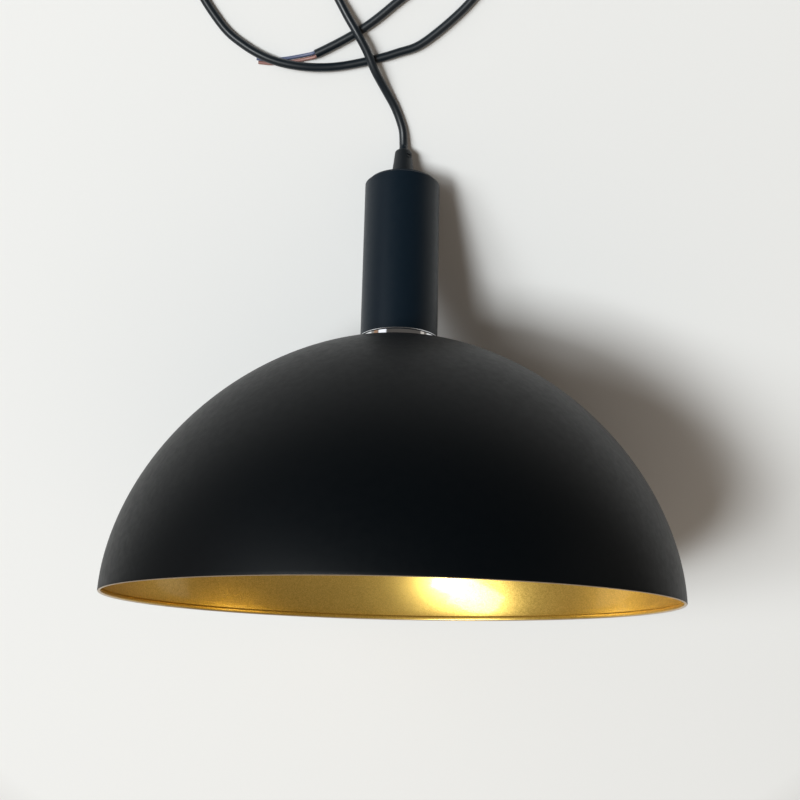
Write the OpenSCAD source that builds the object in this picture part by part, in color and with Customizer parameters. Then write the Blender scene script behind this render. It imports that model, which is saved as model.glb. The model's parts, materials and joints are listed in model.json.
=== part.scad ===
// Pendant ceiling light: dome shade, chrome collar, lampholder cup, cord grip and two-core cord.
// Each piece is drawn along the lamp's axis, with the shade's rim at 0 and the cord end at the top.
// lying() then lays the lamp on its side, resting on the dome and on the cup's top edge.
// +Z is up from the surface, +Y runs towards the cord, and the opening faces up and towards -Y.

/* [Shade] */
// Diameter of the shade over its rim
shade_d = 350; // [250:5:430]
// Height from the rim to the shade's flat top
shade_h = 164; // [120:2:210]
// Wall thickness of the spun shade
shade_t = 1; // [0.8:0.1:2]
// Fullness of the dome's curve, where 2 is an ellipse
shade_fullness = 1.85; // [1.5:0.05:2.3]
// How far the shade's flat top reaches outside the collar
flat_margin = 2; // [1:0.5:10]
// Height of the folded hem inside the rim
hem_h = 3; // [2:0.5:6]
// Extra thickness of the folded hem
hem_t = 0.8; // [0.4:0.1:1.5]

/* [Collar and cup] */
// Radial room between the lampholder's thread and the cup's wall
cup_gap = 4.05; // [2:0.05:10]
// Length of the cup
cup_len = 110; // [88:2:150]
// Wall thickness of the cup
cup_t = 1.2; // [1:0.1:2]
// Thickness of the cup's closed top
cup_top_t = 1.5; // [1.2:0.1:3]
// Rounding of the cup's top edge
cup_edge_r = 2; // [1:0.25:3]
// Height of the collar that shows under the cup
collar_h = 5; // [3:0.5:10]
// Height of the collar's spigot inside the cup
spigot_h = 4; // [3:0.5:8]

/* [Lampholder] */
// Inside diameter of the brass screw shell
shell_d = 26.6; // [22:0.1:32]
// Length of the screw shell's thread
shell_len = 20; // [16:1:24]
// Wall thickness of the screw shell
shell_t = 0.4; // [0.3:0.05:0.6]
// Radial distance from the screw shell to the outside of the lampholder's thread
holder_wall = 6.45; // [5.3:0.05:8]
// Length of the lampholder's threaded skirt
skirt_len = 50; // [41:1:62]
// How far the skirt stands below the shade's top
skirt_drop = 26; // [20:1:32]
// Travel of the sprung centre contact
contact_travel = 1.5; // [1:0.1:2]
// Height of the retaining ring under the shade
ring_h = 9; // [6:0.5:12]
// Radial width of the retaining ring
ring_w = 9.25; // [7:0.25:14]

/* [Cord entry] */
// Diameter of the hollow threaded tube
tube_d = 10; // [8:0.5:13]
// Wall thickness of the hollow threaded tube
tube_t = 1; // [0.8:0.1:1.2]
// Height of the cord grip above the cup
grip_h = 24; // [20:1:34]
// Diameter of the cord grip at its foot
grip_foot_d = 16; // [13:0.5:22]
// Diameter of the cord grip at its mouth
grip_top_d = 11.4; // [9.4:0.2:14]
// Diameter of the cord grip's clamp screw
clamp_screw_d = 4; // [3:0.5:5]
// Distance of the clamp screw below the mouth
clamp_screw_drop = 5; // [4:0.5:8]

/* [Cord] */
// Diameter of the cord's sheath
cord_d = 5.6; // [4.6:0.1:6.8]
// Diameter of each insulated core
core_d = 2.2; // [1.8:0.1:2.6]

/* [Fits] */
// Radial clearance of a turning or threaded fit
fit = 0.05; // [0.02:0.01:0.1]
// Radial clearance of a loose fit
slack = 0.3; // [0.2:0.05:0.5]
// Thickness of washers
washer_t = 1; // [0.8:0.1:1.5]
// Height of the hexagon nuts
nut_h = 4; // [3:0.5:6]
// Metal between the tube and the flats of the hexagon nuts
nut_w = 2; // [1.5:0.25:4]

/* [Hidden] */
$fn = 96;
BLACK = [0.03, 0.03, 0.04];
BRASS = [0.78, 0.6, 0.28];
STEEL = [0.7, 0.71, 0.73];

// Radii from the screw shell outwards
rim_r = shade_d / 2;
shell_r = shell_d / 2;
skirt_r = shell_r + holder_wall;
cup_r = skirt_r + cup_gap + cup_t;
ring_r = skirt_r + ring_w;
washer_r = ring_r - 3;
washer_edge = 0.5;

// Levels along the lamp's axis
seat_z = shade_h;
cup_z = seat_z + collar_h;
cup_top_z = cup_z + cup_len;
grip_top_z = cup_top_z + grip_h;
skirt_z = seat_z - skirt_drop;
skirt_top_z = skirt_z + skirt_len;
washer_z = seat_z - shade_t - washer_t;
ring_z = washer_z - ring_h;

// Lampholder
lip_h = 2;
shell_z = skirt_z + lip_h;
step_h = 1.6;
flange_t = 0.6;
flange_z = shell_z + shell_len + step_h;
block_r = skirt_r - 2.9;
block_z = flange_z + flange_t;
block_h = 15;
block_top_z = block_z + block_h;
cap_wall = 2.5;
cap_cavity_r = block_r - cap_wall;
cap_shoulder_h = 6;
wiring_h = 23;
cap_crown_h = 6.2;
cavity_top_z = max(block_top_z + wiring_h, skirt_top_z + cap_shoulder_h + cap_crown_h);
tube_r = tube_d / 2;
bush_h = 9;
bush_r = tube_r + 2;
boss_r = bush_r + 2.5;
boss_top_z = cavity_top_z + bush_h;

// Centre contact and terminals keep their proportion to the screw shell.
standard_shell_d = 26.6;
k = shell_d / standard_shell_d;
tip_r = 3.5 * k;
stem_r = 2 * k;
collar_r = 4.5 * k;
collar_t = 1.5;
tip_z = flange_z + 0.1 - contact_travel;
guide_z = block_z + 1.5;
spring_wire_r = 0.35;
spring_r = 3 * k;
spring_turns = 6;
spring_sides = 16;
plate_t = 1.5;
plate_w = 7 * k;
terminal_x = 8.5 * k;
terminal_w = 6.5 * k;
terminal_h = 7;
terminal_screw_r = 1.5;
ferrule_r = 0.8;
ferrule_z = block_top_z + plate_t + 1.5;
ferrule_top_z = block_top_z + plate_t + terminal_h + 1.5;
rivet_r = 1.5 * k;
rivet_head_r = 2.2 * k;
rivet_head_h = 0.7;
rivet_pcd_r = 9.8 * k;
rivet_angles = [60, 120, 270];
neutral_rivet_angle = 120;
neutral_arc_end = 195;

// Cord entry
tube_z = cavity_top_z + 1;
tube_top_z = cup_top_z + 8;
nut_z = boss_top_z + washer_t;
nut_r = tube_r + nut_w;
cord_r = cord_d / 2;
core_r = core_d / 2;
mouth_r = cord_r + slack / 2;
mouth_edge = 0.5;
grip_foot_h = 2;
grip_top_r = grip_top_d / 2;
grip_edge_r = min(2, grip_top_r - mouth_r - mouth_edge - 0.2);
clamp_z = grip_top_z - clamp_screw_drop;
clamp_turn = 40;
clamp_screw_r = clamp_screw_d / 2;
pad_r = cord_r + fit;
pad_t = 0.9;
sheath_end_z = cavity_top_z - 2;

// Route of the cord on the surface as [x, y from the grip's mouth, lift], where a lift of 1
// is just high enough to cross another strand
cross_lift = cord_d + 0.8;
// Straight stretch of the cord outside the grip
cord_straight = 5;
cord_route = [
    [-1, 14.5, 0.03], [-6, 27.5, 0], [-13, 39.5, 0.31], [-20, 51.5, 0.86],
    [-26, 64.5, 1], [-33, 76.5, 1], [-41, 89.5, 0.63], [-50, 107.5, 0.08], [-54, 131.5, 0],
    [-45, 162.5, 0], [-25, 180.5, 0.39], [-4, 186.5, 1], [17, 185.5, 1], [37, 176.5, 0.39],
    [54, 156.5, 0], [57, 125.5, 0], [43, 98.5, 0], [13, 71.5, 0],
    [-6, 63.5, 0], [-27, 57.5, 0], [-49, 53.5, 0.13], [-70, 53.5, 0.45], [-90, 57.5, 0.45],
    [-108, 66.5, 0.22], [-123, 79.5, 0], [-140, 107.5, 0], [-148, 144.5, 0], [-134, 183.5, 0],
    [-102, 209.5, 0], [-62, 218.5, 0], [-22, 210.5, 0], [12, 186.5, 0], [27, 152.5, 0],
    [19, 118.5, 0], [-9, 93.5, 0], [-27, 79.5, 0], [-44, 69.5, 0], [-60, 61.5, 0]];
// Line midway between the two cores where the sheath is cut back, as [x, y from the mouth,
// lift above lying flat]
tail_route = [[-60.2, 61.4, 1.7], [-61.9, 60.6, 1.7], [-68.5, 59.1, 0.5], [-78.5, 57.2, 0],
    [-89.5, 55.9, 0], [-99, 56.4, 0]];
tail_gap = 0.2;

// Dome curve: (r / rim_r) ^ fullness + (z / crown_z) ^ fullness = 1, cut flat at the top.
dome_steps = 48;
flat_r = max(cup_r + flat_margin, (washer_r + washer_edge) * rim_r / (rim_r - shade_t));
flat_ratio = flat_r / rim_r;
crown_z = shade_h / pow(1 - pow(flat_ratio, shade_fullness), 1 / shade_fullness);
flat_angle = acos(pow(flat_ratio, shade_fullness / 2));
hem_r = (shade_t + hem_t) / 2;

function dome_r(angle, rim) = rim * pow(cos(angle), 2 / shade_fullness);
function dome_z(angle, top) = top * pow(sin(angle) / sin(flat_angle), 2 / shade_fullness);
function dome_curve(rim, top) =
    [for (i = [1:dome_steps]) let (a = flat_angle * i / dome_steps) [dome_r(a, rim), dome_z(a, top)]];
dome_outside = concat([[rim_r, hem_r]], dome_curve(rim_r, seat_z));

// Reach of a rounded edge with outer radius r, top z and rounding e, square to and along the
// surface
function down_reach(r, z, e, tilt) = (r - e) * cos(tilt) + (z - e) * sin(tilt) + e;
function end_reach(r, z, e, tilt) = (r - e) * sin(tilt) + (z - e) * cos(tilt) + e;

// Lying pose: the dome and the cup's top edge both touch the surface at this tilt of the axis.
function dome_reach(tilt) = max([for (p = dome_outside) p[0] * cos(tilt) + p[1] * sin(tilt)]);
function cord_end_reach(tilt) = max(down_reach(cup_r, cup_top_z, cup_edge_r, tilt),
    down_reach(grip_top_r, grip_top_z, grip_edge_r, tilt));
function rest_tilt(low = 5, high = 60, tries = 40) =
    let (mid = (low + high) / 2)
    tries == 0 ? mid
    : cord_end_reach(mid) > dome_reach(mid) ? rest_tilt(low, mid, tries - 1)
    : rest_tilt(mid, high, tries - 1);
tilt = rest_tilt();
rest_z = dome_reach(tilt);

// The origin is under the middle of the lamp's box, cord apart.
rim_end_y = (hem_r - rim_r) * sin(tilt) + hem_r * cos(tilt) - hem_r;
mid_y = (rim_end_y + max(end_reach(cup_r, cup_top_z, cup_edge_r, tilt),
    end_reach(grip_top_r, grip_top_z, grip_edge_r, tilt))) / 2;

module lying() {
    translate([0, -mid_y, rest_z])
        rotate([-90 - tilt, 0, 0])
            children();
}

// Point at height z on the axis, in the lying frame
function on_axis(z) = [0, z * cos(tilt) - mid_y, rest_z - z * sin(tilt)];
mouth = on_axis(grip_top_z);

// Tube swept along a list of points
function unit(v) = v / norm(v);
function along(p, i) = unit(p[min(i + 1, len(p) - 1)] - p[max(i - 1, 0)]);
function side_of(t) = unit(cross(t, abs(t[2]) > 0.9 ? [0, 1, 0] : [0, 0, 1]));
function ring_at(c, t, r, sides) =
    let (u = side_of(t), v = cross(t, u))
    [for (k = [0:sides - 1]) c + r * (cos(360 * k / sides) * u + sin(360 * k / sides) * v)];
module sweep(p, r, sides = 8) {
    n = len(p);
    rings = [for (i = [0:n - 1]) each ring_at(p[i], along(p, i), r, sides)];
    walls = [for (i = [0:n - 2], k = [0:sides - 1])
        let (a = i * sides + k, b = i * sides + (k + 1) % sides)
        [a, a + sides, b + sides, b]];
    ends = [[for (k = [0:sides - 1]) k], [for (k = [sides - 1:-1:0]) (n - 1) * sides + k]];
    polyhedron(rings, concat(walls, ends), convexity = 8);
}

// Smooth curve through points (Catmull-Rom), with steps points for each stretch
function spline_point(a, b, c, d, t) =
    0.5 * (2 * b + (c - a) * t + (2 * a - 5 * b + 4 * c - d) * t * t
    + (3 * b - a - 3 * c + d) * t * t * t);
function spline(p, steps) =
    let (n = len(p))
    concat([for (i = [0:n - 2], s = [0:steps - 1])
        spline_point(p[max(i - 1, 0)], p[i], p[i + 1], p[min(i + 2, n - 1)], s / steps)],
        [p[n - 1]]);

module ring_solid(z, h, r_out, r_in) {
    translate([0, 0, z])
        difference() {
            cylinder(h = h, r = r_out);
            translate([0, 0, -1])
                cylinder(h = h + 2, r = r_in);
        }
}

module shade() {
    hem_arc = [for (a = [0:-30:-180]) [rim_r - hem_r + hem_r * cos(a), hem_r + hem_r * sin(a)]];
    inner_rim = rim_r - shade_t;
    inside = [for (p = dome_curve(inner_rim, seat_z - shade_t)) if (p[1] > hem_h + hem_t) p];
    hem_top = [[rim_r - 2 * hem_r, hem_h - hem_t / 2], [inside[0][0], hem_h + hem_t / 2]];
    hole_r = skirt_r + slack;
    top = [[hole_r, seat_z], [hole_r, seat_z - shade_t]];
    color(BLACK)
        rotate_extrude($fn = 180)
            polygon(concat([for (i = [len(hem_arc) - 1:-1:0]) hem_arc[i]],
                dome_curve(rim_r, seat_z), top, [for (i = [len(inside) - 1:-1:0]) inside[i]],
                [hem_top[1], hem_top[0]]));
}

module chrome_collar() {
    edge = 0.4;
    spigot_r = cup_r - cup_t - slack / 2;
    bore_r = skirt_r + fit;
    color(STEEL)
        rotate_extrude()
            polygon([[bore_r, seat_z], [cup_r - edge, seat_z], [cup_r, seat_z + edge],
                [cup_r, cup_z - edge], [cup_r - edge, cup_z], [spigot_r, cup_z],
                [spigot_r, cup_z + spigot_h], [bore_r, cup_z + spigot_h]]);
}

module socket_cup() {
    hole_r = tube_r + fit;
    inner_r = cup_r - cup_t;
    edge = [for (a = [0:10:90])
        [cup_r - cup_edge_r + cup_edge_r * cos(a), cup_top_z - cup_edge_r + cup_edge_r * sin(a)]];
    color(BLACK)
        rotate_extrude()
            polygon(concat([[inner_r, cup_z], [cup_r, cup_z]], edge,
                [[hole_r, cup_top_z], [hole_r, cup_top_z - cup_top_t],
                [inner_r, cup_top_z - cup_top_t]]));
}

// Radial hole or piece at the clamp screw's height, from radius r0 to r1
module clamp_rod(r0, r1, r) {
    translate([0, 0, clamp_z])
        rotate([0, 90, clamp_turn - 90])
            translate([0, 0, r0])
                cylinder(h = r1 - r0, r = r);
}

module cord_grip() {
    foot_r = grip_foot_d / 2;
    edge_mid = [grip_top_r - grip_edge_r, grip_top_z - grip_edge_r];
    edge = [for (a = [0:15:90]) edge_mid + grip_edge_r * [cos(a), sin(a)]];
    socket_top_z = tube_top_z + 1;
    color(BLACK)
        difference() {
            rotate_extrude()
                polygon(concat([[tube_r + fit, cup_top_z], [foot_r, cup_top_z],
                    [foot_r, cup_top_z + grip_foot_h]], edge,
                    [[mouth_r + mouth_edge, grip_top_z], [mouth_r, grip_top_z - mouth_edge],
                    [mouth_r, socket_top_z], [tube_r + fit, socket_top_z]]));
            clamp_rod(cord_r, foot_r, clamp_screw_r + fit);
        }
}

module clamp_screw() {
    tip = pad_r + pad_t;
    head = grip_top_r + 0.8;
    slot_w = 0.8;
    color(BLACK)
        difference() {
            clamp_rod(tip, head, clamp_screw_r);
            translate([0, 0, clamp_z])
                rotate([0, 90, clamp_turn - 90])
                    translate([-slot_w / 2, -clamp_screw_d, head - slot_w])
                        cube([slot_w, 2 * clamp_screw_d, 2]);
        }
}

module clamp_pad() {
    color(STEEL)
        clamp_rod(pad_r, pad_r + pad_t, clamp_screw_r);
}

module nipple() {
    color(STEEL)
        ring_solid(tube_z, tube_top_z - tube_z, tube_r, tube_r - tube_t);
}

module hex_nut(z) {
    color(STEEL)
        translate([0, 0, z])
            difference() {
                cylinder(h = nut_h, r = nut_r / cos(30), $fn = 6);
                translate([0, 0, -1])
                    cylinder(h = nut_h + 2, r = tube_r + fit);
            }
}

module cup_nut() {
    hex_nut(cup_top_z - cup_top_t - washer_t - nut_h);
}

module cup_washer() {
    color(STEEL)
        ring_solid(cup_top_z - cup_top_t - washer_t, washer_t, nut_r + 3, tube_r + slack);
}

module holder_nut() {
    hex_nut(nut_z);
}

module holder_washer() {
    teeth = 12;
    color(STEEL)
        difference() {
            ring_solid(boss_top_z, washer_t, nut_r + 1, tube_r + slack);
            for (k = [0:teeth - 1])
                rotate([0, 0, 360 * k / teeth])
                    translate([nut_r + 1.6, 0, boss_top_z - 1])
                        cylinder(h = washer_t + 2, r = 1.2, $fn = 24);
        }
}

module holder_cap() {
    shoulder_z = skirt_top_z;
    dome_z0 = shoulder_z + cap_shoulder_h;
    color(BLACK)
        rotate_extrude()
            polygon([[cap_cavity_r, block_top_z], [block_r, block_top_z], [block_r, shoulder_z],
                [skirt_r, shoulder_z], [skirt_r, dome_z0], [boss_r + 3, boss_top_z - 4],
                [boss_r, boss_top_z - 2], [boss_r, boss_top_z], [bush_r + fit, boss_top_z],
                [bush_r + fit, cavity_top_z], [boss_r, cavity_top_z],
                [cap_cavity_r, dome_z0 - cap_wall]]);
}

module entry_bush() {
    color(BRASS)
        ring_solid(cavity_top_z, bush_h, bush_r, tube_r + fit);
}

module holder_skirt() {
    chamber_r = shell_r + shell_t + slack;
    lip_r = shell_r + 0.2;
    upper_r = block_r + fit;
    edge = 0.8;
    color(BLACK)
        rotate_extrude()
            polygon([[lip_r, skirt_z], [skirt_r - edge, skirt_z], [skirt_r, skirt_z + edge],
                [skirt_r, skirt_top_z], [upper_r, skirt_top_z], [upper_r, flange_z],
                [chamber_r, flange_z], [chamber_r, shell_z], [lip_r, shell_z]]);
}

module shade_ring() {
    grips = 12;
    grip_r = 2.5;
    color(BLACK)
        difference() {
            ring_solid(ring_z, ring_h, ring_r, skirt_r + fit);
            for (k = [0:grips - 1])
                rotate([0, 0, 360 * (k + 0.5) / grips])
                    translate([ring_r + 1, 0, ring_z - 1])
                        cylinder(h = ring_h - 1.5, r = grip_r, $fn = 32);
        }
}

module ring_washer() {
    color([0.55, 0.3, 0.2])
        ring_solid(washer_z, washer_t, washer_r, skirt_r + slack);
}

module contact_block() {
    color([0.92, 0.9, 0.85])
        difference() {
            translate([0, 0, block_z])
                cylinder(h = block_h, r = block_r);
            translate([0, 0, block_z - 1])
                cylinder(h = block_h + 2, r = tip_r + 2 * fit);
            translate([0, 0, guide_z])
                cylinder(h = block_h, r = collar_r + slack);
            for (a = rivet_angles)
                rotate([0, 0, a])
                    translate([rivet_pcd_r, 0, block_z - 1])
                        cylinder(h = block_h + 2, r = rivet_r + fit, $fn = 32);
        }
}

module screw_shell() {
    eye_r = tip_r + 2.5;
    color(BRASS)
        difference() {
            rotate_extrude()
                polygon([[shell_r, shell_z], [shell_r + shell_t, shell_z],
                    [shell_r + shell_t, flange_z], [block_r, flange_z], [block_r, block_z],
                    [eye_r, block_z], [eye_r, flange_z],
                    [shell_r - shell_t, flange_z], [shell_r - shell_t, shell_z + shell_len],
                    [shell_r, shell_z + shell_len]]);
            for (a = rivet_angles)
                rotate([0, 0, a])
                    translate([rivet_pcd_r, 0, flange_z - 1])
                        cylinder(h = 3, r = rivet_r + fit, $fn = 32);
        }
}

// Height that a rivet clamps above the block: the neutral plate, or nothing
function rivet_grip(angle) = angle == neutral_rivet_angle ? plate_t : 0;

module shell_rivets() {
    color(BRASS)
        for (a = rivet_angles)
            rotate([0, 0, a])
                translate([rivet_pcd_r, 0, 0]) {
                    translate([0, 0, flange_z])
                        cylinder(h = block_top_z + rivet_grip(a) - flange_z, r = rivet_r, $fn = 32);
                    translate([0, 0, flange_z - rivet_head_h])
                        cylinder(h = rivet_head_h, r = rivet_head_r, $fn = 32);
                    translate([0, 0, block_top_z + rivet_grip(a)])
                        cylinder(h = rivet_head_h, r = rivet_head_r, $fn = 32);
                }
}

module centre_contact() {
    color(BRASS) {
        translate([0, 0, tip_z])
            cylinder(h = guide_z - tip_z, r = tip_r);
        translate([0, 0, guide_z])
            cylinder(h = collar_t, r = collar_r);
        translate([0, 0, guide_z + collar_t])
            cylinder(h = block_top_z + plate_t - guide_z - collar_t, r = stem_r);
    }
}

module contact_spring() {
    z0 = guide_z + collar_t + spring_wire_r + 0.05;
    z1 = block_top_z - spring_wire_r - 0.05;
    steps = spring_sides * spring_turns;
    coil = [for (i = [0:steps]) let (a = 360 * i / spring_sides)
        [spring_r * cos(a), spring_r * sin(a), z0 + (z1 - z0) * i / steps]];
    color(STEEL)
        sweep(coil, spring_wire_r, 6);
}

// Clamp block of a terminal, on the +X side
module terminal_block() {
    z0 = block_top_z + plate_t;
    difference() {
        translate([terminal_x - terminal_w / 2, -terminal_w / 2, z0])
            cube([terminal_w, terminal_w, terminal_h]);
        translate([terminal_x, 0, z0 + 1])
            cylinder(h = terminal_h, r = ferrule_r + 0.2, $fn = 32);
        translate([terminal_x, 0, z0 + terminal_h / 2])
            rotate([0, 90, 0])
                cylinder(h = terminal_w, r = terminal_screw_r + fit, $fn = 32);
    }
}

// The live plate spans the centre, where the contact's stem slides in it.
module terminal_live() {
    inner_end = stem_r + 1.2;
    outer_end = terminal_x + terminal_w / 2;
    color(BRASS) {
        difference() {
            translate([-inner_end, -plate_w / 2, block_top_z])
                cube([inner_end + outer_end, plate_w, plate_t]);
            translate([0, 0, block_top_z - 1])
                cylinder(h = plate_t + 2, r = stem_r + fit, $fn = 48);
        }
        terminal_block();
    }
}

// The neutral plate runs round from its block to the rivet that joins it to the shell.
module terminal_neutral() {
    inner_r = terminal_x - terminal_w / 2;
    outer_r = rivet_pcd_r + rivet_head_r + 0.3;
    start = neutral_rivet_angle - 15;
    color(BRASS) {
        difference() {
            rotate([0, 0, start])
                rotate_extrude(angle = neutral_arc_end - start)
                    translate([inner_r, block_top_z])
                        square([outer_r - inner_r, plate_t]);
            rotate([0, 0, neutral_rivet_angle])
                translate([rivet_pcd_r, 0, block_top_z - 1])
                    cylinder(h = plate_t + 2, r = rivet_r + fit, $fn = 32);
        }
        rotate([0, 0, 180])
            terminal_block();
    }
}

module terminal_screws() {
    head_h = 1.2;
    head_r = 2.4;
    z = block_top_z + plate_t + terminal_h / 2;
    tip_x = terminal_x + ferrule_r + fit;
    face_x = terminal_x + terminal_w / 2;
    color(STEEL)
        for (turn = [0, 180])
            rotate([0, 0, turn])
                translate([0, 0, z])
                    rotate([0, 90, 0])
                        difference() {
                            union() {
                                translate([0, 0, tip_x])
                                    cylinder(h = face_x - tip_x, r = terminal_screw_r, $fn = 32);
                                translate([0, 0, face_x])
                                    cylinder(h = head_h, r = head_r, $fn = 32);
                            }
                            translate([-0.3, -head_r - 1, face_x + head_h - 0.5])
                                cube([0.6, 2 * head_r + 2, 1]);
                        }
}

module cord_lead() {
    color(BLACK)
        translate([0, 0, sheath_end_z])
            cylinder(h = grip_top_z - sheath_end_z, r = cord_r);
}

// One core from the sheath to its terminal, on side 1 or -1
module wire(side) {
    x_start = core_r + fit;
    straight = 0.6;
    steps = 10;
    top_z = sheath_end_z - straight;
    end_z = ferrule_top_z + straight;
    bend = [for (i = [0:steps]) let (t = i / steps, s = (1 - cos(180 * t)) / 2)
        [side * (x_start + (terminal_x - x_start) * s), 0, top_z + (end_z - top_z) * t]];
    sweep(concat([[side * x_start, 0, sheath_end_z]], bend, [[side * terminal_x, 0, ferrule_top_z]]),
        core_r, 8);
}

module wire_brown() {
    color([0.4, 0.2, 0.1])
        wire(1);
}

module wire_blue() {
    color([0.15, 0.3, 0.6])
        wire(-1);
}

module wire_ferrules() {
    color(STEEL)
        for (side = [1, -1])
            translate([side * terminal_x, 0, ferrule_z])
                cylinder(h = ferrule_top_z - ferrule_z, r = ferrule_r, $fn = 32);
}

// Points of a route on the surface, with each lift taken as a multiple of step
function laid(route, r, step) = [for (p = route) [p[0], mouth[1] + p[1], r + p[2] * step]];

// The free cord starts face to face with the lead in the grip's mouth.
module cord() {
    start = [for (out = [0, 1, 2, cord_straight]) let (p = on_axis(grip_top_z + out))
        [p[0], p[1], max(p[2], cord_r)]];
    color(BLACK)
        sweep(spline(concat(start, laid(cord_route, cord_r, cross_lift)), 2), cord_r, 8);
}

// One of the two cores, on side 1 or -1 of the line between them
module tail(side) {
    apart = side * (core_r + tail_gap / 2);
    route = [for (p = tail_route) [p[0] - 0.45 * apart, p[1] + apart, p[2]]];
    sweep(spline(laid(route, core_r, 1), 3), core_r, 8);
}

module tail_brown() {
    color([0.4, 0.2, 0.1])
        tail(-1);
}

module tail_blue() {
    color([0.15, 0.3, 0.6])
        tail(1);
}

lying() shade();
lying() chrome_collar();
lying() socket_cup();
lying() cord_grip();
lying() clamp_screw();
lying() clamp_pad();
lying() nipple();
lying() cup_nut();
lying() cup_washer();
lying() holder_nut();
lying() holder_washer();
lying() holder_cap();
lying() entry_bush();
lying() holder_skirt();
lying() shade_ring();
lying() ring_washer();
lying() contact_block();
lying() screw_shell();
lying() shell_rivets();
lying() centre_contact();
lying() contact_spring();
lying() terminal_live();
lying() terminal_neutral();
lying() terminal_screws();
lying() cord_lead();
lying() wire_brown();
lying() wire_blue();
lying() wire_ferrules();
cord();
tail_brown();
tail_blue();
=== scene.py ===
import json
import math

import bmesh
import bpy
from mathutils import Matrix, Vector


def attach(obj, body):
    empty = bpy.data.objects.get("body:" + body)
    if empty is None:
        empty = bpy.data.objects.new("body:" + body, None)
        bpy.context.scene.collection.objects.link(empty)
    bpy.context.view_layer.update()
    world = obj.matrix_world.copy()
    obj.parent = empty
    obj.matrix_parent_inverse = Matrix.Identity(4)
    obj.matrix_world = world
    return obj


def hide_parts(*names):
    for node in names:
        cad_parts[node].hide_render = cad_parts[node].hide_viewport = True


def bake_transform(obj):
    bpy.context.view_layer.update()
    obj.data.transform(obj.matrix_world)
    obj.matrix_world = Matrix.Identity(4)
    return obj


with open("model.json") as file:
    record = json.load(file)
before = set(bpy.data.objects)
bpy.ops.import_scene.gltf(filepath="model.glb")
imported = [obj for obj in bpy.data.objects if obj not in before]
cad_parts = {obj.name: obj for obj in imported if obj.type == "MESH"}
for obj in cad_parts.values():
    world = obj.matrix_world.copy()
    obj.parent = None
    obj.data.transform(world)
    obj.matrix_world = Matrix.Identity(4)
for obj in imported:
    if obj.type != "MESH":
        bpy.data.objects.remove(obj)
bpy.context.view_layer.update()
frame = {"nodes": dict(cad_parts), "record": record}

MM = 0.001

# ---------------------------------------------------------------- sizes in mm, as in the CAD
RIM_R, SHADE_H, SHADE_T, FULLNESS, FLAT_R = 175, 164, 1, 1.85, 27
HEM_H, HEM_T = 3, 0.8
CUP_R, CUP_T, CUP_TOP_T, CUP_EDGE, CUP_LEN = 25, 1.2, 1.5, 2, 110
COLLAR_H, SPIGOT_H, SPIGOT_R = 5, 4, 23.65
GRIP_H = 24
SKIRT_R, SKIRT_LEN, SKIRT_DROP, SKIRT_LIP = 19.75, 50, 26, 2
SHELL_R, SHELL_T, SHELL_LEN, NECK_H, FLANGE_T = 13.3, 0.4, 20, 1.6, 0.6
EYE_R, CHAMBER_R, LIP_R = 6, 14.8, 13.5
BLOCK_R, BLOCK_H = 16.85, 15
TUBE_R, FIT, SLACK = 5, 0.05, 0.3
CORD_R, CORE_R = 2.8, 1.1

# heights above the rim
COLLAR_TOP = SHADE_H + COLLAR_H
SPIGOT_TOP = COLLAR_TOP + SPIGOT_H
CUP_TOP = COLLAR_TOP + CUP_LEN
MOUTH = CUP_TOP + GRIP_H
SKIRT_Z = SHADE_H - SKIRT_DROP
SKIRT_TOP = SKIRT_Z + SKIRT_LEN
SHELL_Z = SKIRT_Z + SKIRT_LIP
SHELL_TOP = SHELL_Z + SHELL_LEN
SOCKET_Z = SHELL_Z + SHELL_LEN / 2
FLANGE_Z = SHELL_TOP + NECK_H
BLOCK_Z = FLANGE_Z + FLANGE_T
BLOCK_TOP = BLOCK_Z + BLOCK_H

# ---------------------------------------------------------------- the lamp's own frame
# Pieces are drawn along the lamp's axis in mm, with the rim at 0 and the cord end at the top.
socket = next(m for m in frame["record"]["mounts"] if m["name"] == "lamp_socket")
up_axis = -Vector(socket["axis"]).normalized()
across = Vector((1, 0, 0))
LAMP = Matrix((across, up_axis.cross(across), up_axis)).transposed().to_4x4()
LAMP.translation = Vector(socket["pos_m"]) - up_axis * SOCKET_Z * MM


def lamp_point(x, y, z):
    return LAMP @ (Vector((x, y, z)) * MM)


# ---------------------------------------------------------------- materials
def material(name, base, metallic=0.0, roughness=0.5, **inputs):
    """A Principled material. Further sockets are given by name, with _ for each space."""
    mat = bpy.data.materials.new(name)
    mat.use_nodes = True
    bsdf = mat.node_tree.nodes["Principled BSDF"]
    bsdf.inputs["Base Color"].default_value = (*base, 1)
    bsdf.inputs["Metallic"].default_value = metallic
    bsdf.inputs["Roughness"].default_value = roughness
    for key, value in inputs.items():
        bsdf.inputs[key.replace("_", " ")].default_value = value
    return mat


def add(mat, kind, **values):
    """A new node, with its sockets or its settings set by name."""
    node = mat.node_tree.nodes.new(kind)
    for key, value in values.items():
        if key in node.inputs:
            node.inputs[key].default_value = value
        else:
            setattr(node, key, value)
    return node


def link(mat, out, into):
    mat.node_tree.links.new(out, into)


def place(mat):
    """Position on the piece, in metres."""
    return add(mat, "ShaderNodeTexCoord").outputs["Object"]


def noise(mat, scale, detail=3.0):
    """Noise from 0 to 1, scale times finer than a metre."""
    tex = add(mat, "ShaderNodeTexNoise", Scale=scale, Detail=detail)
    link(mat, place(mat), tex.inputs["Vector"])
    return tex.outputs["Fac"]


def spread(mat, value, low, high, start=0.3, end=0.7):
    """Goes from low to high as value goes from start to end."""
    ranged = add(mat, "ShaderNodeMapRange")
    for key, number in zip(("From Min", "From Max", "To Min", "To Max"), (start, end, low, high)):
        ranged.inputs[key].default_value = number
    link(mat, value, ranged.inputs["Value"])
    return ranged.outputs["Result"]


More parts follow.
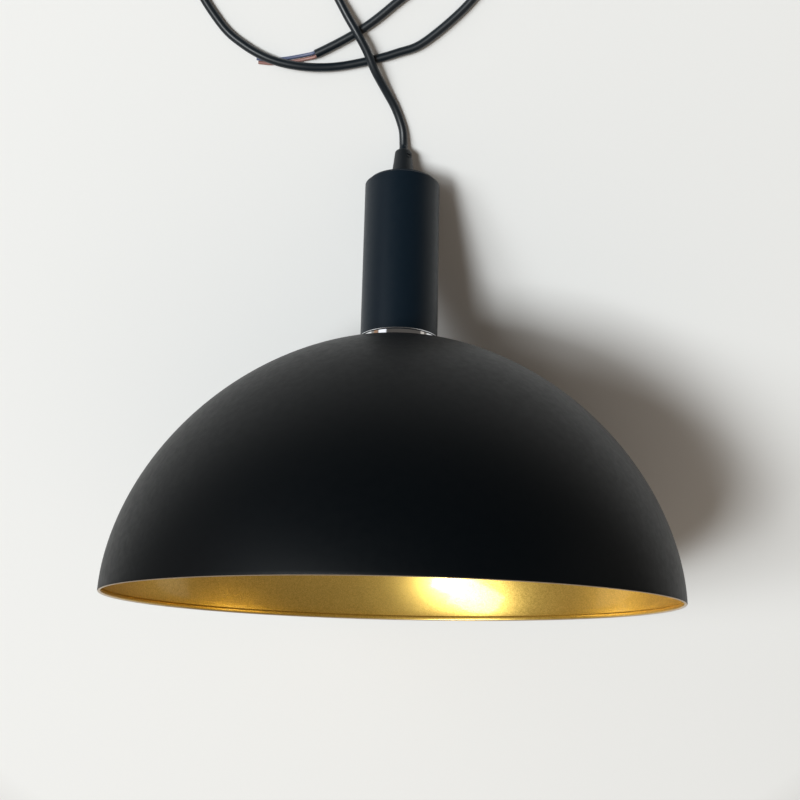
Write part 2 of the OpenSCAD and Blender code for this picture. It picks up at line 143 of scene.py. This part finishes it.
def bump(mat, height, distance, strength):
    """Surface relief, distance metres deep."""
    node = add(mat, "ShaderNodeBump", Strength=strength, Distance=distance)
    link(mat, height, node.inputs["Height"])
    link(mat, node.outputs["Normal"], mat.node_tree.nodes["Principled BSDF"].inputs["Normal"])


def rough(mat, value):
    link(mat, value, mat.node_tree.nodes["Principled BSDF"].inputs["Roughness"])


def tint(mat, value, dark, light):
    """Base colour between dark and light as value goes from 0 to 1."""
    mix = add(mat, "ShaderNodeMix", data_type="RGBA")
    mix.inputs[6].default_value = (*dark, 1)
    mix.inputs[7].default_value = (*light, 1)
    link(mat, value, mix.inputs[0])
    link(mat, mix.outputs[2], mat.node_tree.nodes["Principled BSDF"].inputs["Base Color"])


def powder_coat(name, base, roughness, shine):
    mat = material(name, base, roughness=roughness, Specular_IOR_Level=shine)
    rough(mat, spread(mat, noise(mat, 240), roughness - 0.03, roughness + 0.03))
    bump(mat, noise(mat, 1800, 2), 0.00005, 0.5)
    return mat


def gold_paint(name):
    mat = material(name, (0.56, 0.37, 0.08), metallic=0.82, roughness=0.3,
                   Coat_Weight=0.5, Coat_Roughness=0.08)
    bsdf = mat.node_tree.nodes["Principled BSDF"]
    flakes = add(mat, "ShaderNodeTexVoronoi", Scale=1900)
    link(mat, place(mat), flakes.inputs["Vector"])
    tone = add(mat, "ShaderNodeSeparateColor")
    link(mat, flakes.outputs["Color"], tone.inputs["Color"])
    tint(mat, tone.outputs["Red"], (0.5, 0.33, 0.065), (0.7, 0.475, 0.115))
    # each flake leans its own way
    lean = add(mat, "ShaderNodeVectorMath", operation="SUBTRACT")
    lean.inputs[1].default_value = (0.5, 0.5, 0.5)
    link(mat, flakes.outputs["Color"], lean.inputs[0])
    scale = add(mat, "ShaderNodeVectorMath", operation="SCALE")
    scale.inputs["Scale"].default_value = 0.03
    link(mat, lean.outputs["Vector"], scale.inputs[0])
    geometry = add(mat, "ShaderNodeNewGeometry")
    total = add(mat, "ShaderNodeVectorMath", operation="ADD")
    link(mat, geometry.outputs["Normal"], total.inputs[0])
    link(mat, scale.outputs["Vector"], total.inputs[1])
    even = add(mat, "ShaderNodeVectorMath", operation="NORMALIZE")
    link(mat, total.outputs["Vector"], even.inputs[0])
    link(mat, even.outputs["Vector"], bsdf.inputs["Normal"])
    rough(mat, spread(mat, noise(mat, 60), 0.3, 0.33))
    return mat


def metal(name, base, roughness):
    mat = material(name, base, metallic=1.0, roughness=roughness)
    rough(mat, spread(mat, noise(mat, 400, 4), roughness * 0.8, roughness * 1.25))
    bump(mat, noise(mat, 400, 4), 0.00001, 0.4)
    return mat


def plastic(name, base, roughness, scale=500, depth=0.00002):
    """Moulded plastic with a fine grain, depth metres deep."""
    mat = material(name, base, roughness=roughness)
    rough(mat, spread(mat, noise(mat, 160), roughness - 0.03, roughness + 0.04))
    bump(mat, noise(mat, scale, 2), depth, 0.4)
    return mat


SHADE_BLACK = powder_coat("shade_black", (0.0012, 0.0024, 0.0036), 0.45, 0.12)
CUP_BLACK = powder_coat("cup_black", (0.003, 0.009, 0.016), 0.4, 0.2)
GOLD = gold_paint("shade_gold")
HEM_EDGE = metal("hem_edge", (0.62, 0.52, 0.4), 0.42)
CHROME = metal("chrome", (0.86, 0.87, 0.9), 0.06)
STEEL = metal("steel", (0.62, 0.63, 0.65), 0.3)
BRASS = metal("brass", (0.78, 0.56, 0.24), 0.26)
GRIP_BLACK = plastic("grip_black", (0.002, 0.005, 0.008), 0.5)
HOLDER_BLACK = plastic("holder_black", (0.016, 0.016, 0.017), 0.34)
FIBRE = plastic("fibre", (0.32, 0.12, 0.06), 0.6)
CERAMIC = plastic("ceramic_white", (0.82, 0.79, 0.7), 0.35, 900)
CORD_BLACK = plastic("cord_black", (0.003, 0.008, 0.013), 0.38, 700, 0.00001)
CORE_BROWN = plastic("core_brown", (0.3, 0.15, 0.13), 0.4)
CORE_BLUE = plastic("core_blue", (0.09, 0.11, 0.2), 0.4)


# ---------------------------------------------------------------- mesh building
def rounded(corners, arcs=4):
    """Closed outline from (r, z, fillet) corners, each rounded by its fillet."""
    line = []
    for i, (r, z, fillet) in enumerate(corners):
        here = Vector((r, z, 0))
        back = (Vector((*corners[i - 1][:2], 0)) - here).normalized()
        on = (Vector((*corners[(i + 1) % len(corners)][:2], 0)) - here).normalized()
        angle = back.angle(on)
        if fillet <= 0 or angle > 3.1:
            line.append((r, z))
            continue
        reach = fillet / math.tan(angle / 2)
        centre = here + (back + on).normalized() * (fillet / math.sin(angle / 2))
        first, last = here + back * reach - centre, here + on * reach - centre
        points = [here + back * (reach + fillet * 0.2)]
        points += [centre + first.slerp(last, k / arcs) for k in range(arcs + 1)]
        points += [here + on * (reach + fillet * 0.2)]
        line += [(p.x, p.y) for p in points]
    return line


def turned(name, line, mats, steps, pick=None, shape=None):
    """A solid turned round the lamp's axis from the closed outline line of (r, z) in mm.

    pick(i) gives the material of row i, and shape(i, angle, r, z) the radius there.
    """
    bm = bmesh.new()
    rows = []
    for i, (r, z) in enumerate(line):
        row = []
        for k in range(steps):
            a = 2 * math.pi * k / steps
            rr = shape(i, a, r, z) if shape else r
            row.append(bm.verts.new(lamp_point(rr * math.cos(a), rr * math.sin(a), z)))
        rows.append(row)
    for i, a in enumerate(rows):
        b = rows[(i + 1) % len(rows)]
        for k in range(steps):
            n = (k + 1) % steps
            face = bm.faces.new((a[k], a[n], b[n], b[k]))
            face.material_index = pick(i) if pick else 0
    return finish_mesh(name, bm, mats)


SHARP_ANGLE = math.radians(40)


def finish_mesh(name, bm, mats):
    """Turns bm into an object, smooth but for its sharp edges."""
    bmesh.ops.recalc_face_normals(bm, faces=bm.faces)
    mesh = bpy.data.meshes.new(name)
    bm.to_mesh(mesh)
    bm.free()
    mesh.shade_smooth()
    mesh.set_sharp_from_angle(angle=SHARP_ANGLE)
    obj = bpy.data.objects.new(name, mesh)
    bpy.context.scene.collection.objects.link(obj)
    for mat in mats:
        mesh.materials.append(mat)
    return obj


def stands_for(obj, body, slot_name, *nodes):
    """obj goes with body and is shown in place of these CAD pieces."""
    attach(obj, body)
    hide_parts(*nodes)


def paint(node, mat):
    """A CAD piece keeps its shape and takes the material."""
    data = frame["nodes"][node].data
    data.materials.clear()
    data.materials.append(mat)


# ---------------------------------------------------------------- shade
DOME_STEPS = 72


def dome(rim, top):
    """A superellipse from the rim to the edge of the flat at the top, without its first point."""
    flat = math.acos((FLAT_R / RIM_R) ** (FULLNESS / 2))
    line = []
    for i in range(1, DOME_STEPS + 1):
        a = flat * i / DOME_STEPS
        line.append((rim * math.cos(a) ** (2 / FULLNESS),
                     top * (math.sin(a) / math.sin(flat)) ** (2 / FULLNESS)))
    return line


# the hem is the rim's metal rolled inwards: a half round at the bottom and a fold back to the wall
hem_r = (SHADE_T + HEM_T) / 2
hole_r = SKIRT_R + SLACK
outer = dome(RIM_R, SHADE_H)
crown = [(FLAT_R - 3, SHADE_H), (hole_r, SHADE_H), (hole_r, SHADE_H - SHADE_T)]
inner = [p for p in reversed(dome(RIM_R - SHADE_T, SHADE_H - SHADE_T)) if p[1] > HEM_H + HEM_T]
wall_r = inner[-1][0]
hem_fold = [(wall_r, HEM_H + 0.5), (wall_r - 0.35, HEM_H + 0.15),
            (RIM_R - 2 * hem_r + 0.08, HEM_H - 0.2), (RIM_R - 2 * hem_r, HEM_H - 0.6)]
hem_arc = []
for degrees in range(-180, 1, 20):
    a = math.radians(degrees)
    hem_arc.append((RIM_R - hem_r + hem_r * math.cos(a), hem_r + hem_r * math.sin(a)))
shade_line = outer + crown + inner + hem_fold + hem_arc

PAINT_BLACK, PAINT_GOLD, PAINT_EDGE = range(3)
gold_from = len(outer) + len(crown) - 1
edge_from = len(shade_line) - len(hem_arc) + 1
black_again = len(shade_line) - 3


def shade_paint(i):
    """Black outside, gold inside, and a worn edge on the hem's underside."""
    if gold_from <= i < edge_from:
        return PAINT_GOLD
    return PAINT_EDGE if edge_from <= i < black_again else PAINT_BLACK


shade = turned("shade_shell", shade_line, [SHADE_BLACK, GOLD, HEM_EDGE], 256, shade_paint)
stands_for(shade, "lamp", "shade_black", "shade")

# ---------------------------------------------------------------- collar and cup
TURNED_STEPS = 192

collar = turned("collar_ring", rounded([
    (SKIRT_R + FIT, SHADE_H, 0), (CUP_R, SHADE_H, 0.35), (CUP_R, COLLAR_TOP, 0.25),
    (SPIGOT_R, COLLAR_TOP, 0), (SPIGOT_R, SPIGOT_TOP, 0.2), (SKIRT_R + FIT, SPIGOT_TOP, 0)]),
    [CHROME], TURNED_STEPS)
stands_for(collar, "lamp", "chrome", "chrome_collar")

cup = turned("cup_shell", rounded([
    (CUP_R - CUP_T, COLLAR_TOP, 0), (CUP_R, COLLAR_TOP, 0.3), (CUP_R, CUP_TOP, CUP_EDGE),
    (TUBE_R + FIT, CUP_TOP, 0), (TUBE_R + FIT, CUP_TOP - CUP_TOP_T, 0),
    (CUP_R - CUP_T, CUP_TOP - CUP_TOP_T, 0.6)], 8),
    [CUP_BLACK], TURNED_STEPS)
stands_for(cup, "lamp", "cup_black", "socket_cup")

# ---------------------------------------------------------------- lampholder threads
def helix(pitch, depth, z_from, z_to):
    """Radius added at (angle, z): 0 at the root, depth at the crest, fading out at both ends."""

    def lift(a, z):
        fade = min(1, max(0, min(z - z_from, z_to - z) / pitch * 2))
        return fade * depth * (0.5 - 0.5 * math.cos(2 * math.pi * z / pitch - a))

    return lift


def steps_between(z_from, z_to, step):
    """Heights from z_from to z_to, about step apart."""
    n = round((z_to - z_from) / step)
    return [z_from + (z_to - z_from) * k / n for k in range(n + 1)]


RING_PITCH, RING_DEPTH, RING_ROWS = 2, 0.45, 0.25
EDISON_PITCH, EDISON_DEPTH, EDISON_ROWS = 3.6, 0.8, 0.36
THREAD_STEPS = 96

ring_thread = helix(RING_PITCH, RING_DEPTH, SKIRT_Z + 1.5, SKIRT_TOP)
skirt_line = [(LIP_R, SKIRT_Z), (SKIRT_R - 0.9, SKIRT_Z), (SKIRT_R - 0.45, SKIRT_Z + 0.5)]
thread_from = len(skirt_line)
skirt_line += [(SKIRT_R, z) for z in steps_between(SKIRT_Z + 1, SKIRT_TOP, RING_ROWS)]
thread_to = len(skirt_line)
skirt_line += [(BLOCK_R + FIT, SKIRT_TOP), (BLOCK_R + FIT, FLANGE_Z), (CHAMBER_R, FLANGE_Z),
               (CHAMBER_R, SHELL_Z), (LIP_R, SHELL_Z)]


def skirt_shape(i, a, r, z):
    """The thread's crests stand at the skirt's own radius."""
    return r - RING_DEPTH + ring_thread(a, z) if thread_from <= i < thread_to else r


skirt = turned("skirt_thread", skirt_line, [HOLDER_BLACK], THREAD_STEPS, shape=skirt_shape)
stands_for(skirt, "lamp", "holder_black", "holder_skirt")

edison = helix(EDISON_PITCH, EDISON_DEPTH, SHELL_Z + 0.4, SHELL_TOP)
shell_rows = steps_between(SHELL_Z, SHELL_TOP, EDISON_ROWS)
shell_line = [(SHELL_R + SHELL_T, z) for z in shell_rows]
shell_line += [(SHELL_R + SHELL_T, FLANGE_Z), (BLOCK_R, FLANGE_Z), (BLOCK_R, BLOCK_Z),
               (EYE_R, BLOCK_Z), (EYE_R, FLANGE_Z), (SHELL_R, FLANGE_Z)]
shell_line += [(SHELL_R, z) for z in reversed(shell_rows)]
flange_rows = range(len(shell_rows), len(shell_line) - len(shell_rows))


def shell_shape(i, a, r, z):
    """Both faces of the thin shell carry the thread, and its flange is flat."""
    return r if i in flange_rows else r + edison(a, z)


shell = turned("edison_shell", shell_line, [BRASS], THREAD_STEPS, shape=shell_shape)
stands_for(shell, "lamp", "brass", "screw_shell")

# ---------------------------------------------------------------- pieces kept as in the CAD
for node, mat in {
    "cord_grip": GRIP_BLACK, "clamp_screw": GRIP_BLACK, "clamp_pad": STEEL, "nipple": STEEL,
    "cup_nut": STEEL, "cup_washer": STEEL, "holder_nut": STEEL, "holder_washer": STEEL,
    "holder_cap": HOLDER_BLACK, "entry_bush": BRASS,
    "shade_ring": HOLDER_BLACK, "ring_washer": FIBRE, "contact_block": CERAMIC,
    "shell_rivets": BRASS, "centre_contact": BRASS,
    "terminal_live": BRASS, "terminal_neutral": BRASS, "terminal_screws": STEEL,
    "cord_lead": CORD_BLACK, "wire_brown": CORE_BROWN, "wire_blue": CORE_BLUE,
    "wire_ferrules": STEEL,
}.items():
    paint(node, mat)

# ---------------------------------------------------------------- cord
CROSS = 2 * CORD_R + 0.8
CORD_STRAIGHT = 5
mouth = lamp_point(0, 0, MOUTH) / MM
# [x, y from the grip's mouth, lift in crossings]
CORD_ROUTE = [
    [-1, 14.5, 0.03], [-6, 27.5, 0], [-13, 39.5, 0.31], [-20, 51.5, 0.86],
    [-26, 64.5, 1], [-33, 76.5, 1], [-41, 89.5, 0.63], [-50, 107.5, 0.08], [-54, 131.5, 0],
    [-45, 162.5, 0], [-25, 180.5, 0.39], [-4, 186.5, 1], [17, 185.5, 1], [37, 176.5, 0.39],
    [54, 156.5, 0], [57, 125.5, 0], [43, 98.5, 0], [13, 71.5, 0],
    [-6, 63.5, 0], [-27, 57.5, 0], [-49, 53.5, 0.13], [-70, 53.5, 0.45], [-90, 57.5, 0.45],
    [-108, 66.5, 0.22], [-123, 79.5, 0], [-140, 107.5, 0], [-148, 144.5, 0], [-134, 183.5, 0],
    [-102, 209.5, 0], [-62, 218.5, 0], [-22, 210.5, 0], [12, 186.5, 0], [27, 152.5, 0],
    [19, 118.5, 0], [-9, 93.5, 0], [-27, 79.5, 0], [-44, 69.5, 0], [-60, 61.5, 0]]
# the line midway between the two cores
TAIL_ROUTE = [[-60.2, 61.4, 1.7], [-61.9, 60.6, 1.7], [-68.5, 59.1, 0.5], [-78.5, 57.2, 0],
              [-89.5, 55.9, 0], [-99, 56.4, 0]]
TAIL_APART = CORE_R + 0.1
CURVE_STEPS = 8


def laid(route, radius, step):
    """Points in mm on the surface, each raised by its lift times step."""
    return [Vector((x, mouth.y + y, radius + lift * step)) for x, y, lift in route]


def spline(points):
    """A smooth curve through points, in CURVE_STEPS steps between each two."""
    line, n = [], len(points)
    for i in range(n - 1):
        a, b = points[max(i - 1, 0)], points[i]
        c, d = points[i + 1], points[min(i + 2, n - 1)]
        for s in range(CURVE_STEPS):
            t = s / CURVE_STEPS
            line.append((2 * b + (c - a) * t + (2 * a - 5 * b + 4 * c - d) * t ** 2
                         + (3 * b - a - 3 * c + d) * t ** 3) / 2)
    return line + [points[-1]]


def tube(name, line, radius, mat, sides):
    """A round tube along line, radius in mm. More sides make it rounder."""
    curve = bpy.data.curves.new(name, "CURVE")
    curve.dimensions = "3D"
    curve.bevel_depth = radius * MM
    curve.bevel_resolution = sides
    curve.use_fill_caps = True
    path = curve.splines.new("POLY")
    path.points.add(len(line) - 1)
    for point, at in zip(path.points, line):
        point.co = (*(at * MM), 1)
    path.use_smooth = True
    curve.materials.append(mat)
    obj = bpy.data.objects.new(name, curve)
    bpy.context.scene.collection.objects.link(obj)
    return obj


start = [lamp_point(0, 0, MOUTH + out) / MM for out in (0, 1, 2, CORD_STRAIGHT)]
cord = tube("free_cord", spline(start + laid(CORD_ROUTE, CORD_R, CROSS)), CORD_R, CORD_BLACK, 8)
stands_for(cord, "lamp", "cord_black", "cord")
for name, side, mat, slot_name in (("core_tail_brown", -1, CORE_BROWN, "core_brown"),
                                   ("core_tail_blue", 1, CORE_BLUE, "core_blue")):
    apart = side * TAIL_APART
    route = [(x - 0.45 * apart, y + apart, lift) for x, y, lift in TAIL_ROUTE]
    tail = tube(name, spline(laid(route, CORE_R, 1)), CORE_R, mat, 5)
    stands_for(tail, "lamp", slot_name, "tail_" + name.split("_")[-1])

# ---------------------------------------------------------------- spring under the centre contact
SPRING_R, WIRE_R, SPRING_TURNS, TURN_STEPS, SPRING_GAP = 3, 0.35, 6, 16, 0.05
CONTACT_COLLAR = 3
contact_top = BLOCK_Z + CONTACT_COLLAR
coil_from, coil_to = contact_top + WIRE_R + SPRING_GAP, BLOCK_TOP - WIRE_R - SPRING_GAP
coil_steps = TURN_STEPS * SPRING_TURNS
coil = []
for i in range(coil_steps + 1):
    a = 2 * math.pi * i / TURN_STEPS
    z = coil_from + (coil_to - coil_from) * i / coil_steps
    coil.append(lamp_point(SPRING_R * math.cos(a), SPRING_R * math.sin(a), z) / MM)
wound = tube("contact_coil_line", coil, WIRE_R, STEEL, 2)
spring = bpy.data.objects.new("contact_coil", bpy.data.meshes.new_from_object(wound))
bpy.context.scene.collection.objects.link(spring)
bpy.data.objects.remove(wound)
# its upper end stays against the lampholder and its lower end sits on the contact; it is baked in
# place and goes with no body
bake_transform(spring)
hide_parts("contact_spring")

# ---------------------------------------------------------------- camera
# its place in the lamp's frame in mm, and its turn in degrees, fitted to the photo's outline
CAMERA_SIDE, CAMERA_OUT, CAMERA_DROP = -1.2, -690, -48.73
PITCH, YAW, ROLL, LENS = 14.4085, 0.2417, 1.3555, 50.08
camera = bpy.data.objects.new("camera", bpy.data.cameras.new("camera"))
bpy.context.scene.collection.objects.link(camera)
camera.data.lens = LENS
camera.data.clip_start = 0.01
pitch, yaw, roll = (math.radians(v) for v in (PITCH, YAW, ROLL))
turn = LAMP.to_3x3()
ahead = turn @ Vector((math.sin(yaw) * math.cos(pitch), math.cos(yaw) * math.cos(pitch),
                       math.sin(pitch)))
right = ahead.cross(up_axis).normalized()
above = right.cross(ahead)
right, above = (math.cos(roll) * right + math.sin(roll) * above,
                math.cos(roll) * above - math.sin(roll) * right)
camera.matrix_world = Matrix((right, above, -ahead)).transposed().to_4x4()
camera.location = lamp_point(CAMERA_SIDE, CAMERA_OUT, CAMERA_DROP)
bpy.context.scene.camera = camera

# ---------------------------------------------------------------- floor and light
LAMP_MIDDLE = Vector((0, 0, 0.1))
LIGHT_AWAY = 8


def soft_light(name, toward, wide, high, power, colour):
    """An area light LIGHT_AWAY metres off in the direction toward, aimed at the lamp."""
    data = bpy.data.lights.new(name, "AREA")
    data.shape = "RECTANGLE"
    data.size, data.size_y = wide, high
    data.energy = power
    data.color = colour
    obj = bpy.data.objects.new(name, data)
    obj.location = LAMP_MIDDLE + Vector(toward).normalized() * LIGHT_AWAY
    obj.rotation_mode = "QUATERNION"
    obj.rotation_quaternion = (LAMP_MIDDLE - obj.location).to_track_quat("-Z", "Y")
    bpy.context.scene.collection.objects.link(obj)


FLOOR_PALE, FLOOR_DARK = (0.82, 0.82, 0.815), (0.2, 0.185, 0.165)
FLOOR_HALF, PALE_TO, DARK_FROM = 4, 0.46, 0.72
FLOOR = material("floor_pale", FLOOR_PALE, roughness=0.8, Specular_IOR_Level=0.2)
bump(FLOOR, noise(FLOOR, 300, 2), 0.0002, 0.3)
# pale round the lamp, darker far away
reach = add(FLOOR, "ShaderNodeVectorMath", operation="LENGTH")
link(FLOOR, place(FLOOR), reach.inputs[0])
away = spread(FLOOR, reach.outputs["Value"], 0, 1, PALE_TO, DARK_FROM)
tint(FLOOR, away, FLOOR_PALE, FLOOR_DARK)
floor_mesh = bmesh.new()
bmesh.ops.create_grid(floor_mesh, x_segments=8, y_segments=8, size=FLOOR_HALF)
finish_mesh("floor", floor_mesh, [FLOOR])

COOL_WHITE = (0.95, 0.99, 1.0)
soft_light("window_high", (-0.42, 0.1, 0.9), 1.8, 1.8, 366, COOL_WHITE)
soft_light("window_low", (-0.62, 0.22, 0.75), 2.4, 3.1, 288, COOL_WHITE)

# ---------------------------------------------------------------- the room, as light only
world = bpy.data.worlds.new("world")
world.use_nodes = True
room = world.node_tree
direction = room.nodes.new("ShaderNodeTexCoord").outputs["Generated"]


def patch(toward, edge, core, colour, under):
    """A soft round patch of colour in the direction toward, laid over what is under it.

    It is full within core degrees of toward and gone at edge degrees.
    """
    facing = room.nodes.new("ShaderNodeVectorMath")
    facing.operation = "DOT_PRODUCT"
    facing.inputs[1].default_value = Vector(toward).normalized()
    room.links.new(direction, facing.inputs[0])
    amount = room.nodes.new("ShaderNodeMapRange")
    amount.interpolation_type = "SMOOTHSTEP"
    amount.inputs["From Min"].default_value = math.cos(math.radians(edge))
    amount.inputs["From Max"].default_value = math.cos(math.radians(core))
    room.links.new(facing.outputs["Value"], amount.inputs["Value"])
    mix = room.nodes.new("ShaderNodeMix")
    mix.data_type = "RGBA"
    mix.inputs[7].default_value = (*colour, 1)
    room.links.new(amount.outputs["Result"], mix.inputs[0])
    if isinstance(under, tuple):
        mix.inputs[6].default_value = (*under, 1)
    else:
        room.links.new(under, mix.inputs[6])
    return mix.outputs[2]


DIM_WALL = (0.085, 0.078, 0.07)
# warm light from the side the shade opens to
glow = patch((0, -1, 0.35), 120, 50, (0.33, 0.28, 0.23), DIM_WALL)
# a tan wall, a window and a pale wall, which band the chrome collar
glow = patch((-0.97, 0.24, 0.02), 22, 12, (0.38, 0.23, 0.145), glow)
glow = patch((-0.75, 0.54, 0.38), 15, 9, (1.1, 1.12, 1.15), glow)
glow = patch((0.95, 0.3, 0.04), 14, 8, (0.6, 0.56, 0.5), glow)
room.links.new(glow, room.nodes["Background"].inputs["Color"])
bpy.context.scene.world = world
bpy.context.scene.view_settings.view_transform = "Standard"
